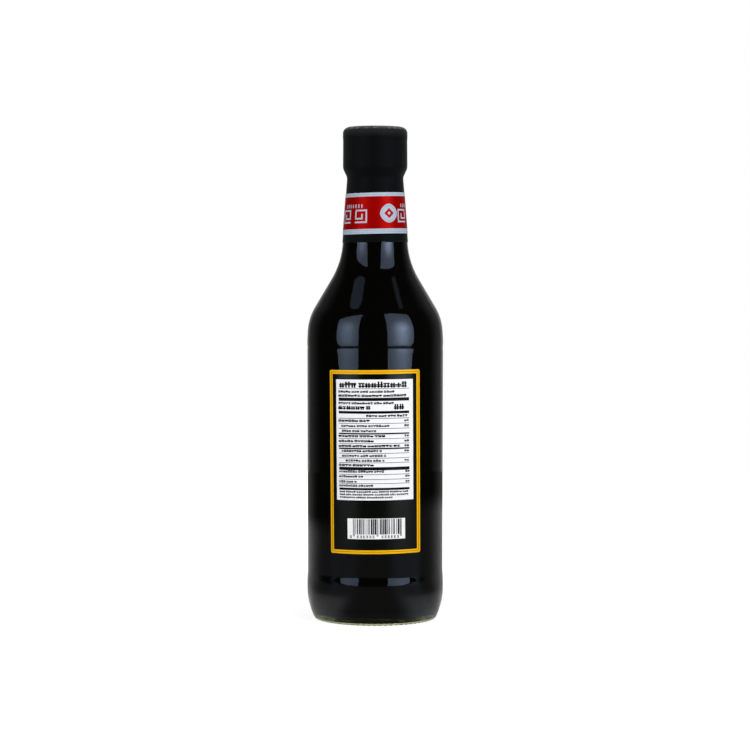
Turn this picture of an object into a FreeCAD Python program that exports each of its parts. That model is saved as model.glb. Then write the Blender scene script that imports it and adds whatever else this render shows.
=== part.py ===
"""Aged vinegar bottle: a sealed round glass bottle with its vinegar, cap, sleeve and two labels.

The bottle stands on its bearing ring with +Z up. The origin is the middle of the ring, on the floor.
The back label faces -Y. Millimetres and degrees.
"""
import FreeCAD
import Part
import math
import os
import Sketcher
from FreeCAD import Placement, Rotation, Vector

doc = FreeCAD.newDocument("vinegar_bottle")

# Driving dimensions --------------------------------------------------------------------------------

SIZES = {
    # glass, from the floor up
    "body_diameter": 69.0,
    "heel_inset": 5.1,
    "bearing_width": 1.8,
    "bearing_corner_radius": 2.0,
    "push_up": 4.5,
    "base_thickness": 3.2,
    "wall": 2.8,
    "heel_radius": 34.0,
    "inner_heel_radius": 7.0,
    "bead_top": 19.6,
    "panel_recess_lower": 0.26,
    "panel_recess_upper": 0.07,
    "panel_blend_radius": 21.0,
    "shoulder_height": 138.2,
    "shoulder_radius": 106.0,
    "shoulder_turn": 4.7,
    "shoulder_edge_radius": 26.2,
    "flank_angle": 30.6,
    "neck_arc_radius": 41.2,
    "neck_base_diameter": 32.9,
    "neck_taper": 4.3,
    "neck_length": 33.4,
    "lip_radius": 1.2,
    # vinegar
    "fill_drop": 50.0,
    # cap
    "closure_gap": 4.4,
    "closure_clearance": 0.3,
    "closure_wall": 1.85,
    "closure_top": 1.9,
    "closure_height": 20.6,
    "closure_band_height": 5.9,
    "closure_band_step": 0.12,
    "closure_corner_radius": 4.0,
    "closure_draft": 0.5,
    # shrunk sleeve over the cap and the neck
    "film_thickness": 0.2,
    "film_clearance": 0.03,
    "sleeve_rise": 0.6,
    # labels
    "label_thickness": 0.15,
    "label_clearance": 0.03,
    "neck_label_lower_margin": 3.7,
    "neck_label_upper_margin": 8.5,
    "neck_label_tilt": 1.4,
    "back_label_width": 49.2,
    "back_label_lower_margin": 12.0,
    "back_label_upper_margin": 8.4,
    "back_label_corner": 0.9,
    "back_label_skew": 0.3,
}

sheet = doc.addObject("Spreadsheet::Sheet", "Sizes")
for row, (alias, value) in enumerate(SIZES.items(), start=1):
    sheet.set(f"A{row}", alias)
    sheet.set(f"B{row}", str(value))
    sheet.setAlias(f"B{row}", alias)
doc.recompute()


def size(alias):
    """The plain number in the sheet's cell."""
    return float(sheet.get(alias))


def sine(angle):
    return math.sin(math.radians(angle))


def cosine(angle):
    return math.cos(math.radians(angle))


def tangent(angle):
    return math.tan(math.radians(angle))


# Half-sections -------------------------------------------------------------------------------------


def upright_sketch(body, name):
    """An empty sketch on the body's own XZ plane."""
    sketch = body.newObject("Sketcher::SketchObject", name)
    plane = next(plane for plane in body.Origin.OriginFeatures if plane.Role == "XZ_Plane")
    sketch.AttachmentSupport = [plane]
    sketch.MapMode = "FlatFace"
    return sketch


class Section:
    """A closed half-section in the XZ plane, drawn like a pen stroke and turned about Z.

    The pen starts on the axis and heads along +X. Headings are degrees from there. Each stroke
    leaves the last one smoothly, unless corner() comes between them. The strokes' first sizes are
    only a guess close to the answer: the constraints then follow the sheet.
    """

    START, END, CENTRE = 1, 2, 3
    FLOOR, AXIS = -1, -2
    ORIGIN = (-1, 1)

    def __init__(self, name, height):
        self.body = doc.addObject("PartDesign::Body", name)
        self.sketch = upright_sketch(self.body, name + "_section")
        self.point = Vector(0, height, 0)
        self.heading = 0.0
        self.smooth = False
        self.first = None
        self.last = None

    def _add(self, shape, begins, ends):
        number = self.sketch.addGeometry(shape, False)
        if self.last is None:
            self.first = (number, begins)
        else:
            kind = "Tangent" if self.smooth else "Coincident"
            self.rule(kind, *self.last, number, begins)
        self.last = (number, ends)
        self.smooth = True
        return number

    def corner(self, heading):
        """Turn on the spot."""
        self.heading = heading
        self.smooth = False

    def line(self, length):
        """A straight stroke along the heading."""
        end = self.point + Vector(cosine(self.heading), sine(self.heading), 0) * length
        number = self._add(Part.LineSegment(self.point, end), self.START, self.END)
        self.point = end
        return number

    def arc(self, radius, turn, expression=None):
        """A round stroke that turns left by so many degrees, or right by a negative number."""
        side = math.copysign(1.0, turn)
        start_angle = self.heading - 90 * side
        end_angle = start_angle + turn
        centre = self.point - Vector(cosine(start_angle), sine(start_angle), 0) * radius
        low, high = sorted((start_angle, end_angle))
        circle = Part.Circle(centre, Vector(0, 0, 1), radius)
        shape = Part.ArcOfCircle(circle, math.radians(low), math.radians(high))
        begins, ends = (self.START, self.END) if side > 0 else (self.END, self.START)
        number = self._add(shape, begins, ends)
        self.point = centre + Vector(cosine(end_angle), sine(end_angle), 0) * radius
        self.heading += turn
        if expression:
            self.bind("Radius", (number, radius), expression)
        return number

    def rule(self, kind, *where):
        """A constraint with no size."""
        self.sketch.addConstraint(Sketcher.Constraint(kind, *where))

    def bind(self, kind, where, expression):
        """A constraint whose size follows an expression."""
        number = self.sketch.addConstraint(Sketcher.Constraint(kind, *where))
        self.sketch.setExpression(f"Constraints[{number}]", expression)

    def at_radius(self, expression):
        """The pen lies this far from the axis."""
        self.bind("DistanceX", (*self.ORIGIN, *self.last, self.point.x), expression)

    def at_height(self, expression):
        """The pen lies this high."""
        self.bind("DistanceY", (*self.ORIGIN, *self.last, self.point.y), expression)

    def starts_at_height(self, expression):
        """The stroke that left the axis did so this high."""
        height = self.sketch.getPoint(*self.first).y
        self.bind("DistanceY", (*self.ORIGIN, *self.first, height), expression)

    def slope(self, line, expression):
        """A line's own heading."""
        self.bind("Angle", (line, math.radians(self.heading)), expression)

    def turn(self, arc, angle, expression):
        """How far an arc turns."""
        self.bind("Angle", (arc, math.radians(angle)), expression)

    def note(self, name, kind):
        """A place that other pieces follow: the pen's DistanceX or DistanceY from the origin."""
        value = self.point.x if kind == "DistanceX" else self.point.y
        number = self.sketch.addConstraint(Sketcher.Constraint(kind, *self.ORIGIN, *self.last, value))
        self.sketch.setDriving(number, False)
        self.sketch.renameConstraint(number, name)

    def close(self):
        """Back down the axis to the start, then a full turn."""
        self.corner(-90)
        drop = self.point.y - self.sketch.getPoint(*self.first).y
        number = self.line(drop)
        self.rule("Coincident", *self.last, *self.first)
        self.rule("PointOnObject", number, self.START, self.AXIS)
        self.rule("PointOnObject", number, self.END, self.AXIS)
        turned = self.body.newObject("PartDesign::Revolution", self.body.Name + "_turned")
        turned.Profile = self.sketch
        turned.ReferenceAxis = (self.sketch, ["V_Axis"])
        turned.Angle = 360
        self.sketch.Visibility = False
        return self.body


def cut(name, base, tool):
    """One shape less another."""
    result = doc.addObject("Part::Cut", name)
    result.Base = base
    result.Tool = tool
    return result


def common(name, base, tool):
    """What two shapes share."""
    result = doc.addObject("Part::Common", name)
    result.Base = base
    result.Tool = tool
    return result


# Places on the outside of the glass that other pieces follow ---------------------------------------


def blank_place(name):
    """A place noted on the outside of the glass, as a plain number."""
    return doc.getObject("glass_blank_section").getDatum(name).Value


def place(name):
    """The same place, as an expression without a unit."""
    return f"(glass_blank_section.Constraints.{name} / 1 mm)"


NECK_BASE = place("neck_base_height")
NECK_TOP = place("neck_top_height")
PANEL_TOP = place("panel_top_height")
FINISH = place("finish_radius")
LIP = place("lip_height")
CAP_BORE = f"{FINISH} + Sizes.closure_clearance"
CAP_EDGE = f"{CAP_BORE} + Sizes.closure_wall"
CAP_BOTTOM = f"({NECK_TOP} + Sizes.closure_gap)"
SKIRT = "(Sizes.closure_height - Sizes.closure_band_height)"
SLEEVE_BOTTOM = f"({NECK_BASE} + Sizes.sleeve_rise)"
RING = "(Sizes.body_diameter / 2 - Sizes.heel_inset)"
PANEL_BOTTOM = "(Sizes.bead_top + 2 * sqrt(Sizes.panel_blend_radius * Sizes.panel_recess_lower))"


# Glass ---------------------------------------------------------------------------------------------


def draw_shoulder_and_neck(pen, inset):
    """From the shoulder's start, with the pen upright, to the top of the neck's taper.

    inset is None on the outer face, or the name of the wall that the line stays inside of.
    """
    inward = size(inset) if inset else 0.0
    less = f" - Sizes.{inset}" if inset else ""
    more = f" + Sizes.{inset}" if inset else ""
    turn, flank, taper = size("shoulder_turn"), size("flank_angle"), size("neck_taper")
    shoulder = size("shoulder_radius") - inward
    edge = size("shoulder_edge_radius") - inward
    neck_arc = size("neck_arc_radius") + inward
    neck_base = size("neck_base_diameter") / 2 - inward * cosine(taper)

    big = pen.arc(shoulder, turn, "Sizes.shoulder_radius" + less)
    pen.turn(big, turn, "Sizes.shoulder_turn")
    if not inset:
        pen.rule("Horizontal", big, pen.START, big, pen.CENTRE)
    pen.arc(edge, flank - turn, "Sizes.shoulder_edge_radius" + less)
    arc_width = neck_arc * (cosine(taper) - cosine(flank))
    straight = pen.line((pen.point.x - neck_base - arc_width) / sine(flank))
    pen.slope(straight, "90 + Sizes.flank_angle")
    pen.arc(neck_arc, taper - flank, "Sizes.neck_arc_radius" + more)
    pen.at_radius("Sizes.neck_base_diameter / 2" + less + (" * cos(Sizes.neck_taper)" if inset else ""))
    if not inset:
        pen.note("neck_base_height", "DistanceY")


def draw_blend(pen, depth, first_side):
    """Two equal arcs that move the upright line sideways by a small depth."""
    radius = size("panel_blend_radius")
    swing = math.degrees(math.acos(1 - depth / (2 * radius)))
    for side in (first_side, -first_side):
        pen.arc(radius, side * swing, "Sizes.panel_blend_radius")


def make_glass_blank():
    """The bottle's outside as a solid: push-up, bearing ring, heel, label panel, shoulder, neck."""
    body = size("body_diameter") / 2
    ring = body - size("heel_inset")
    inner_ring = ring - size("bearing_width")
    corner_radius = size("bearing_corner_radius")
    rise = size("push_up")
    heel = size("heel_radius")
    dome = (inner_ring ** 2 + rise ** 2) / (2 * rise) - corner_radius
    dome_turn = math.degrees(math.asin(inner_ring / (dome + corner_radius)))
    heel_start = math.degrees(math.asin((ring - body + heel) / (heel - corner_radius)))

    pen = Section("glass_blank", rise)
    push_up = pen.arc(dome, -dome_turn)
    pen.starts_at_height("Sizes.push_up")
    pen.rule("PointOnObject", push_up, pen.CENTRE, pen.AXIS)
    pen.arc(corner_radius, dome_turn, "Sizes.bearing_corner_radius")
    bearing = pen.line(size("bearing_width"))
    pen.rule("Horizontal", bearing)
    pen.rule("PointOnObject", *pen.last, pen.FLOOR)
    pen.bind("DistanceX", (bearing, pen.START, bearing, pen.END, size("bearing_width")),
             "Sizes.bearing_width")
    pen.at_radius(RING)
    pen.arc(corner_radius, heel_start, "Sizes.bearing_corner_radius")
    pen.arc(heel, 90 - heel_start, "Sizes.heel_radius")
    bead = pen.line(size("bead_top") - pen.point.y)
    pen.rule("Vertical", bead)
    pen.at_radius("Sizes.body_diameter / 2")
    pen.at_height("Sizes.bead_top")

    draw_blend(pen, size("panel_recess_lower"), 1)
    pen.at_radius("Sizes.body_diameter / 2 - Sizes.panel_recess_lower")
    widening = size("panel_recess_lower") - size("panel_recess_upper")
    upper_blend = 2 * math.sqrt(size("panel_blend_radius") * size("panel_recess_upper"))
    panel_height = size("shoulder_height") - upper_blend - pen.point.y
    pen.heading = 90 - math.degrees(math.atan(widening / panel_height))
    pen.line(math.hypot(widening, panel_height))
    pen.at_radius("Sizes.body_diameter / 2 - Sizes.panel_recess_upper")
    pen.note("panel_top_height", "DistanceY")
    pen.heading = 90
    draw_blend(pen, size("panel_recess_upper"), -1)
    pen.at_radius("Sizes.body_diameter / 2")
    pen.at_height("Sizes.shoulder_height")

    draw_shoulder_and_neck(pen, None)
    neck = pen.line(size("neck_length") / cosine(size("neck_taper")))
    pen.slope(neck, "90 + Sizes.neck_taper")
    pen.bind("DistanceY", (neck, pen.START, neck, pen.END, size("neck_length")), "Sizes.neck_length")
    pen.note("neck_top_height", "DistanceY")
    pen.corner(90)
    finish_height = size("closure_gap") + size("closure_height") - size("closure_top")
    finish = pen.line(finish_height - size("lip_radius"))
    pen.rule("Vertical", finish)
    pen.note("finish_radius", "DistanceX")
    lip = pen.arc(size("lip_radius"), 90, "Sizes.lip_radius")
    pen.bind("DistanceY", (finish, pen.START, lip, pen.END, finish_height),
             "Sizes.closure_gap + Sizes.closure_height - Sizes.closure_top")
    pen.note("lip_height", "DistanceY")
    mouth = pen.line(pen.point.x)
    pen.rule("Horizontal", mouth)
    return pen.close()


def make_cavity():
    """The room inside the glass, from the domed floor to the mouth."""
    wall = size("wall")
    inner = size("body_diameter") / 2 - wall
    floor = size("push_up") + size("base_thickness")
    heel = size("inner_heel_radius")
    ring = size("body_diameter") / 2 - size("heel_inset") - size("bearing_width")
    dome = (ring ** 2 + size("push_up") ** 2) / (2 * size("push_up")) + size("base_thickness")
    dome_turn = math.degrees(math.asin((inner - heel) / (dome + heel)))

    pen = Section("cavity", floor)
    bottom = pen.arc(dome, -dome_turn)
    pen.starts_at_height("Sizes.push_up + Sizes.base_thickness")
    pen.rule("PointOnObject", bottom, pen.CENTRE, pen.AXIS)
    pen.bind("Radius", (bottom, dome),
             f"(({RING} - Sizes.bearing_width) ^ 2 + Sizes.push_up ^ 2) / (2 * Sizes.push_up)"
             " + Sizes.base_thickness")
    pen.arc(heel, 90 + dome_turn, "Sizes.inner_heel_radius")
    side = pen.line(size("shoulder_height") - pen.point.y)
    pen.rule("Vertical", side)
    pen.at_radius("Sizes.body_diameter / 2 - Sizes.wall")
    pen.at_height("Sizes.shoulder_height")
    draw_shoulder_and_neck(pen, "wall")
    neck = pen.line((blank_place("neck_top_height") - pen.point.y) / cosine(size("neck_taper")))
    pen.slope(neck, "90 + Sizes.neck_taper")
    pen.at_height(NECK_TOP)
    pen.corner(90)
    bore = pen.line(blank_place("lip_height") - pen.point.y)
    pen.rule("Vertical", bore)
    pen.at_height(LIP)
    pen.corner(180)
    mouth = pen.line(pen.point.x)
    pen.rule("Horizontal", mouth)
    return pen.close()


# Vinegar -------------------------------------------------------------------------------------------


def make_vinegar(cavity):
    """The liquid fills the cavity up to a flat level inside the neck."""
    filled = doc.addObject("Part::Cylinder", "filled_height")
    filled.setExpression("Radius", "Sizes.body_diameter")
    filled.setExpression("Height", f"{LIP} - Sizes.fill_drop")
    return common("vinegar", cavity, filled)


# Cap and sleeve ------------------------------------------------------------------------------------

def draw_cap_side(pen, offset, offset_value):
    """The cap's side from its lower edge to the axis: drafted skirt, wider top band, round edge."""
    draft = size("closure_draft")
    skirt = size("closure_height") - size("closure_band_height")
    pen.corner(90 + draft)
    side = pen.line(skirt / cosine(draft))
    pen.slope(side, "90 + Sizes.closure_draft")
    pen.at_height(f"{CAP_BOTTOM} + {SKIRT}")
    pen.corner(0)
    ledge = pen.line(size("closure_band_step"))
    pen.rule("Horizontal", ledge)
    pen.at_radius(f"{CAP_EDGE} + {offset} - {SKIRT} * tan(Sizes.closure_draft) + Sizes.closure_band_step")
    pen.corner(90)
    radius = size("closure_corner_radius") + offset_value
    band = pen.line(size("closure_band_height") + offset_value - radius)
    pen.rule("Vertical", band)
    pen.arc(radius, 90, f"Sizes.closure_corner_radius + {offset}")
    top = pen.line(pen.point.x)
    pen.rule("Horizontal", top)
    pen.at_height(f"{CAP_BOTTOM} + Sizes.closure_height + {offset}")


def make_closure():
    """The cap: a cup that sits on the lip and hangs round the finish."""
    bore = blank_place("finish_radius") + size("closure_clearance")
    edge = bore + size("closure_wall")
    lip = blank_place("lip_height")
    bottom = blank_place("neck_top_height") + size("closure_gap")

    pen = Section("closure", lip)
    seat = pen.line(bore)
    pen.starts_at_height(LIP)
    pen.rule("Horizontal", seat)
    pen.at_radius(CAP_BORE)
    pen.corner(-90)
    inside = pen.line(lip - bottom)
    pen.rule("Vertical", inside)
    pen.at_height(CAP_BOTTOM)
    pen.corner(0)
    rim = pen.line(edge - bore)
    pen.rule("Horizontal", rim)
    pen.at_radius(CAP_EDGE)
    draw_cap_side(pen, "0", 0.0)
    return pen.close()


def make_sleeve_form(name, offset, offset_value):
    """What the shrunk sleeve wraps, from its lower edge on the neck to the cap's top, grown a little."""
    taper = size("neck_taper")
    start = blank_place("neck_base_height") + size("sleeve_rise")
    neck_top = blank_place("neck_top_height")
    finish = blank_place("finish_radius")
    edge = finish + size("closure_clearance") + size("closure_wall") + offset_value

    pen = Section(name, start)
    floor = pen.line(finish + (neck_top - start) * tangent(taper) + offset_value)
    pen.starts_at_height(SLEEVE_BOTTOM)
    pen.rule("Horizontal", floor)
    pen.corner(90 + taper)
    neck = pen.line((neck_top - start) / cosine(taper))
    pen.slope(neck, "90 + Sizes.neck_taper")
    pen.at_height(NECK_TOP)
    pen.at_radius(f"{FINISH} + {offset}")
    width = edge - pen.point.x
    pen.corner(math.degrees(math.atan2(size("closure_gap"), width)))
    pen.line(math.hypot(width, size("closure_gap")))
    pen.at_radius(f"{CAP_EDGE} + {offset}")
    pen.at_height(CAP_BOTTOM)
    draw_cap_side(pen, offset, offset_value)
    return pen.close()


def make_sleeve():
    """The matt film over the cap and the neck, with a closed top."""
    film = size("film_clearance") + size("film_thickness")
    outside = make_sleeve_form("sleeve_outside", "(Sizes.film_clearance + Sizes.film_thickness)", film)
    inside = make_sleeve_form("sleeve_inside", "Sizes.film_clearance", size("film_clearance"))
    return cut("sleeve", outside, inside)


# Labels --------------------------------------------------------------------------------------------


def make_shell(name, low, high, radius_low, radius_high):
    """A thin upright cone wall as thick as a label. Heights and inner radii are expressions."""
    walls = []
    for side, extra in (("inside", "0"), ("outside", "Sizes.label_thickness")):
        wall = doc.addObject("Part::Cone", f"{name}_{side}")
        wall.setExpression("Radius1", f"{radius_low} + {extra}")
        wall.setExpression("Radius2", f"{radius_high} + {extra}")
        wall.setExpression("Height", f"({high}) - ({low})")
        wall.setExpression(".Placement.Base.z", low)
        walls.append(wall)
    return cut(f"{name}_shell", walls[1], walls[0])


def make_neck_label():
    """A band round the sleeve's neck, stuck on a little askew."""
    inner = f"({FINISH} + Sizes.film_clearance + Sizes.film_thickness + Sizes.label_clearance)"
    widening = f"({NECK_TOP} - {SLEEVE_BOTTOM}) * tan(Sizes.neck_taper)"
    shell = make_shell("neck_label", SLEEVE_BOTTOM, NECK_TOP, f"{inner} + {widening}", inner)
    height = (f"({NECK_TOP} - {SLEEVE_BOTTOM} - Sizes.neck_label_lower_margin"
              " - Sizes.neck_label_upper_margin)")
    band = doc.addObject("Part::Cylinder", "neck_label_band")
    band.Placement = Placement(Vector(0, 0, 0), Rotation(Vector(0, -1, 0), size("neck_label_tilt")))
    band.setExpression("Radius", "Sizes.neck_base_diameter")
    band.setExpression("Height", height)
    band.setExpression(".Placement.Rotation.Angle", "Sizes.neck_label_tilt")
    band.setExpression(".Placement.Base.x", f"{height} / 2 * sin(Sizes.neck_label_tilt)")
    band.setExpression(".Placement.Base.z", f"{SLEEVE_BOTTOM} + Sizes.neck_label_lower_margin")
    return common("neck_label", shell, band)


def make_back_label():
    """A sheet round the panel's -Y side with small round corners, a touch askew."""
    inner = "Sizes.body_diameter / 2 + Sizes.label_clearance"
    shell = make_shell("back_label", PANEL_BOTTOM, PANEL_TOP, f"{inner} - Sizes.panel_recess_lower",
                       f"{inner} - Sizes.panel_recess_upper")
    height = (f"({PANEL_TOP} - {PANEL_BOTTOM} - Sizes.back_label_lower_margin"
              " - Sizes.back_label_upper_margin)")

    outline = doc.addObject("PartDesign::Body", "back_label_outline")
    sketch = upright_sketch(outline, "back_label_rectangle")
    half_width, half_height = size("body_diameter") / 3, size("body_diameter") / 2
    corners = [Vector(x * half_width, y * half_height, 0) for x, y in ((-1, -1), (1, -1), (1, 1), (-1, 1))]
    for side in range(4):
        sketch.addGeometry(Part.LineSegment(corners[side], corners[(side + 1) % 4]), False)
    for side in range(4):
        sketch.addConstraint(Sketcher.Constraint("Coincident", side, 2, (side + 1) % 4, 1))
        sketch.addConstraint(Sketcher.Constraint("Vertical" if side % 2 else "Horizontal", side))
    sketch.addConstraint(Sketcher.Constraint("Symmetric", 0, 1, 1, 2, -1, 1))
    across = sketch.addConstraint(Sketcher.Constraint("DistanceX", 0, 1, 0, 2, 2 * half_width))
    sketch.setExpression(
        f"Constraints[{across}]",
        "Sizes.body_diameter * sin(Sizes.back_label_width / Sizes.body_diameter * 180 / pi)")
    upright = sketch.addConstraint(Sketcher.Constraint("DistanceY", 1, 1, 1, 2, 2 * half_height))
    sketch.setExpression(f"Constraints[{upright}]", height)
    pad = outline.newObject("PartDesign::Pad", "back_label_pad")
    pad.Profile = sketch
    pad.setExpression("Length", "Sizes.body_diameter")
    doc.recompute()
    corner_edges = [f"Edge{number}" for number, edge in enumerate(pad.Shape.Edges, start=1)
                    if abs(edge.tangentAt(edge.FirstParameter).y) > 0.5]
    rounding = outline.newObject("PartDesign::Fillet", "back_label_rounding")
    rounding.Base = (pad, corner_edges)
    rounding.setExpression("Radius", "Sizes.back_label_corner")
    outline.Placement = Placement(Vector(0, 0, 0), Rotation(Vector(0, -1, 0), size("back_label_skew")))
    outline.setExpression(".Placement.Rotation.Angle", "Sizes.back_label_skew")
    outline.setExpression(".Placement.Base.z",
                          f"{PANEL_BOTTOM} + Sizes.back_label_lower_margin + {height} / 2")
    return common("back_label", shell, outline)


# The whole bottle ----------------------------------------------------------------------------------

blank = make_glass_blank()
doc.recompute()
cavity = make_cavity()
pieces = [
    cut("glass_bottle", blank, cavity),
    make_vinegar(cavity),
    make_closure(),
    make_sleeve(),
    make_neck_label(),
    make_back_label(),
]
doc.recompute()

for item in doc.Objects:
    faults = [state for state in item.State if state in ("Invalid", "Error")]
    if faults:
        raise RuntimeError(f"{item.Name} failed: {faults}")
    if item.isDerivedFrom("Sketcher::SketchObject") and not item.FullyConstrained:
        raise RuntimeError(f"{item.Name} isn't fully constrained")
for piece in pieces:
    if piece.Shape.isNull() or not piece.Shape.isValid() or len(piece.Shape.Solids) != 1:
        raise RuntimeError(f"{piece.Label} isn't one valid solid")

os.makedirs("parts", exist_ok=True)
for piece in pieces:
    piece.Shape.exportStep(f"parts/{piece.Label}.step")
    box = piece.Shape.BoundBox
    print(f"{piece.Label}: {piece.Shape.Volume / 1000:.2f} ml, z {box.ZMin:.2f} to {box.ZMax:.2f}")
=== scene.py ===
"""Looks of a sealed glass bottle of aged vinegar, laid out as an add-on and run as a script.

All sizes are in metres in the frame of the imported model: the bottle stands on z = 0, its axis is Z,
and the side with the back label faces -Y.
"""
import math
from functools import partial

import bpy
import numpy as np
from bpy.props import FloatProperty, FloatVectorProperty, IntProperty, PointerProperty
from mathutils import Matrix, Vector


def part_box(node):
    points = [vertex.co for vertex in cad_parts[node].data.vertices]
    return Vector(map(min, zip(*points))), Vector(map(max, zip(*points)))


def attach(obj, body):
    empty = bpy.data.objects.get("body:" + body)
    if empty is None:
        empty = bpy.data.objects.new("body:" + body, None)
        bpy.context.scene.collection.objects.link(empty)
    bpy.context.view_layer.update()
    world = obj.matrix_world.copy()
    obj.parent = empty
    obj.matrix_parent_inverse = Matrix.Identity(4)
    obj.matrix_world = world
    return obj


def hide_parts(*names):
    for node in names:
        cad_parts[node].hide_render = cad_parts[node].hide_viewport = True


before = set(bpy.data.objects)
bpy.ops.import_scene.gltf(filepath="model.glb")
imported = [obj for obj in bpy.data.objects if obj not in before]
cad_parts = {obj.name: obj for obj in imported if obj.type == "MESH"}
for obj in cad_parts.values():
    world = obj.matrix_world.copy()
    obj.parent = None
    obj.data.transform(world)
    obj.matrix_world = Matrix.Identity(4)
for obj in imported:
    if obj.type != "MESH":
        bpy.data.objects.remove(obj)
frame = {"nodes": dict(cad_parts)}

bl_info = {
    "name": "Aged vinegar bottle",
    "version": (1, 0, 0),
    "blender": (4, 5, 0),
    "location": "View3D > Sidebar > Vinegar",
    "description": "Makes a sealed bottle of vinegar with its sleeve, neck band and back label",
    "category": "Add Mesh",
}

MM = 0.001
UP = math.pi / 2
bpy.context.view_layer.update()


# Small helpers

def linear(code):
    """sRGB hex code to linear RGBA: c / 12.92 below 0.04045, else ((c + 0.055) / 1.055) ^ 2.4."""
    value = np.array([int(code[i:i + 2], 16) for i in (1, 3, 5)]) / 255
    value = np.where(value <= 0.04045, value / 12.92, ((value + 0.055) / 1.055) ** 2.4)
    return (*value.tolist(), 1.0)


def shade(colour, factor):
    """A linear colour made darker or lighter."""
    return (*(min(1.0, factor * part) for part in colour[:3]), 1.0)


def length(name, description, millimetres):
    """A length that the panel shows, with its default in millimetres."""
    return FloatProperty(name=name, description=description, default=millimetres * MM, min=0.0,
                         unit="LENGTH", precision=5)


def angle(name, description, degrees):
    """An angle that the panel shows, with its default in degrees."""
    return FloatProperty(name=name, description=description, default=math.radians(degrees),
                         subtype="ANGLE")


def tint(name, description, code):
    """A colour that the panel shows, with its default as an sRGB hex code."""
    return FloatVectorProperty(name=name, description=description, subtype="COLOR", size=4,
                               min=0.0, max=1.0, default=linear(code))


# Kinds of node, with their operation, interpolation or data type, that come up often.
NOISE, RAMP, COLOURS = "TexNoise", "MapRange SMOOTHSTEP", "Mix RGBA"
PLUS, TIMES, OVER, LARGER = "Math ADD", "Math MULTIPLY", "Math DIVIDE", "Math MAXIMUM"


def add_node(tree, kind, *values, **named):
    """Adds a node and returns its first output in use; the others are at .node.outputs.

    kind is the node's type, and after a space its operation, interpolation or data type. values
    go to the inputs in use, in order; named ones go by the input's name, with _ for each space.
    """
    kind, _, mode = kind.partition(" ")
    node = tree.nodes.new("ShaderNode" + kind)
    if mode:
        setting = {"MapRange": "interpolation_type", "Mix": "data_type"}.get(kind, "operation")
        setattr(node, setting, mode)
    pairs = list(zip([socket for socket in node.inputs if socket.enabled], values))
    pairs += [(node.inputs[name.replace("_", " ")], value) for name, value in named.items()]
    for socket, value in pairs:
        if isinstance(value, bpy.types.NodeSocket):
            tree.links.new(value, socket)
        else:
            socket.default_value = value
    return next((socket for socket in node.outputs if socket.enabled), None)


def empty_tree(owner):
    """Clears the nodes of a material or world, and returns add_node for its tree."""
    owner.use_nodes = True
    owner.node_tree.nodes.clear()
    return partial(add_node, owner.node_tree)


def new_material(name):
    """An empty node material, add_node for its tree, and its object coordinates."""
    material = bpy.data.materials.new(name)
    add = empty_tree(material)
    return material, add, add("TexCoord").node.outputs["Object"]


def add_mesh(name, points, faces, materials):
    """A mesh object at the origin. faces is a list of blocks of faces."""
    mesh = bpy.data.meshes.new(name)
    mesh.from_pydata(points.tolist(), [], [face.tolist() for block in faces for face in block])
    for material in materials:
        mesh.materials.append(material)
    return link_object(name, mesh)


def link_object(name, data):
    """An object of the scene."""
    made = bpy.data.objects.new(name, data)
    bpy.context.scene.collection.objects.link(made)
    return made


def place_mesh(name, points, faces, materials, face_materials=None, smooth=True, sharp=None):
    """A mesh object that rides on the one body."""
    piece = add_mesh(name, points, faces, materials)
    mesh = piece.data
    if face_materials is not None:
        mesh.polygons.foreach_set("material_index", face_materials)
    mesh.polygons.foreach_set("use_smooth", np.full(len(mesh.polygons), smooth))
    if sharp is not None:
        mesh.set_sharp_from_angle(angle=sharp)
    mesh.update()
    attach(piece, "root")
    return piece


# Outlines and revolved surfaces

def trace(start, heading, steps, spacing):
    """Points (radius, height) of an outline drawn with a pen that heads along an angle h.

    A number runs straight: p + t (cos h, sin h). A pair (radius, turn) runs round the centre
    c = p + r n, with n to the left for a positive turn and to the right for a negative one:
    c + r (sin h, -cos h) while h turns. A string such as "90" sets the heading in degrees.
    """
    widest_turn = 0.06
    point, parts = np.array(start, float), [np.array([start], float)]
    for step in steps:
        if isinstance(step, str):
            heading = math.radians(float(step))
            continue
        if isinstance(step, tuple):
            radius, turn = step
            side = math.copysign(radius, turn)
            count = math.ceil(max(3, abs(radius * turn) / spacing, abs(turn) / widest_turn))
            angles = heading + np.linspace(0, turn, count + 1)[1:, None]
            centre = point + side * np.array([-math.sin(heading), math.cos(heading)])
            run = centre + side * np.hstack([np.sin(angles), -np.cos(angles)])
            heading += turn
        else:
            count = max(1, math.ceil(step / (4 * spacing)))
            run = point + (np.linspace(0, step, count + 1)[1:, None]
                           * np.array([math.cos(heading), math.sin(heading)]))
        parts.append(run)
        point = run[-1]
    return np.vstack(parts)


def extend(outline, heading, steps, spacing):
    """An outline with more steps drawn from its end."""
    return np.vstack([outline, trace(outline[-1], heading, steps, spacing)[1:]])


def offset(outline, distance):
    """An outline moved along its normals, to the right of its direction."""
    slope = np.gradient(outline, axis=0)
    outward = np.stack([slope[:, 1], -slope[:, 0]], axis=1)
    return outline + distance * outward / np.linalg.norm(outward, axis=1)[:, None]


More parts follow.
